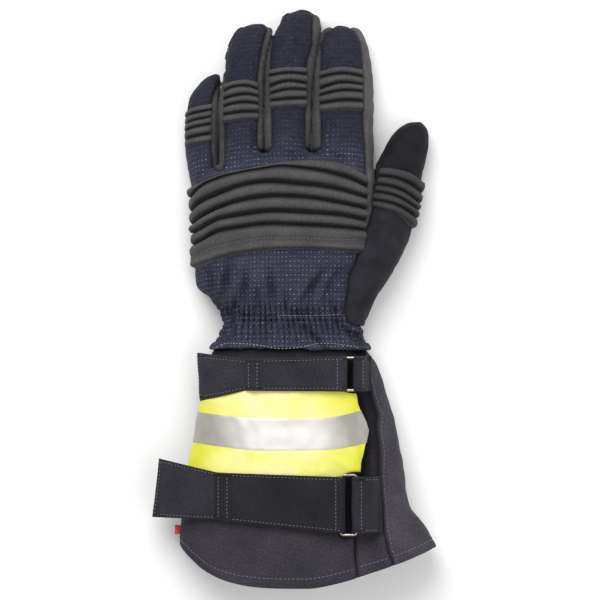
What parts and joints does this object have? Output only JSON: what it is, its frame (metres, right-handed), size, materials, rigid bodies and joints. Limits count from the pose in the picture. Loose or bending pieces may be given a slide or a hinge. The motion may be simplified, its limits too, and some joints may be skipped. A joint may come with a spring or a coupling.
{
  "type": "firefighter glove",
  "caption": "Firefighter's glove for the left hand with ribbed knuckle and finger pads, a gathered wrist and a gauntlet cuff with reflective panel and ring-folded straps.",
  "frame": {"origin": "the middle of the glove's bounding box, on the surface that it lies on", "axes": "+Y points to the fingertips, +X to the thumb, +Z out of the back of the hand"},
  "size_m": [0.1884, 0.381, 0.0612],
  "materials": {
    "shell_fabric": "matte ripstop weave with a pale dotted grid",
    "side_wall_fabric": "matte stretch fabric",
    "pad_fabric": "matte padded ribs",
    "palm_leather": "soft suede",
    "cuff_fabric": "matte twill with grey stitching",
    "fluorescent_fabric": "fluorescent, matte",
    "reflective_tape": "retroreflective, satin",
    "strap_webbing": "matte, stitched",
    "ring_metal": "polished wire",
    "tab_fabric": "matte"
  },
  "bodies": {
    "root": {"back_shell": "shell_fabric", "palm_shell": "palm_leather", "fourchette_pinky_ring": "side_wall_fabric", "fourchette_ring_middle": "side_wall_fabric", "fourchette_middle_index": "side_wall_fabric", "index_side_strip": "side_wall_fabric", "thumb_back": "palm_leather", "thumb_palm": "palm_leather", "knuckle_pad": "pad_fabric", "pinky_pad": "pad_fabric", "ring_finger_pad": "pad_fabric", "middle_finger_pad": "pad_fabric", "index_finger_pad": "pad_fabric", "thumb_pad": "pad_fabric", "cuff_back": "cuff_fabric", "cuff_gusset": "cuff_fabric", "cuff_side": "cuff_fabric", "cuff_palm": "cuff_fabric", "reflective_panel": "fluorescent_fabric", "reflective_stripe": "reflective_tape", "wrist_strap": "strap_webbing", "wrist_ring": "ring_metal", "wrist_ring_anchor": "strap_webbing", "cuff_strap": "strap_webbing", "cuff_ring": "ring_metal", "cuff_ring_anchor": "strap_webbing", "seam_tab": "tab_fabric"}
  },
  "joints": []
}
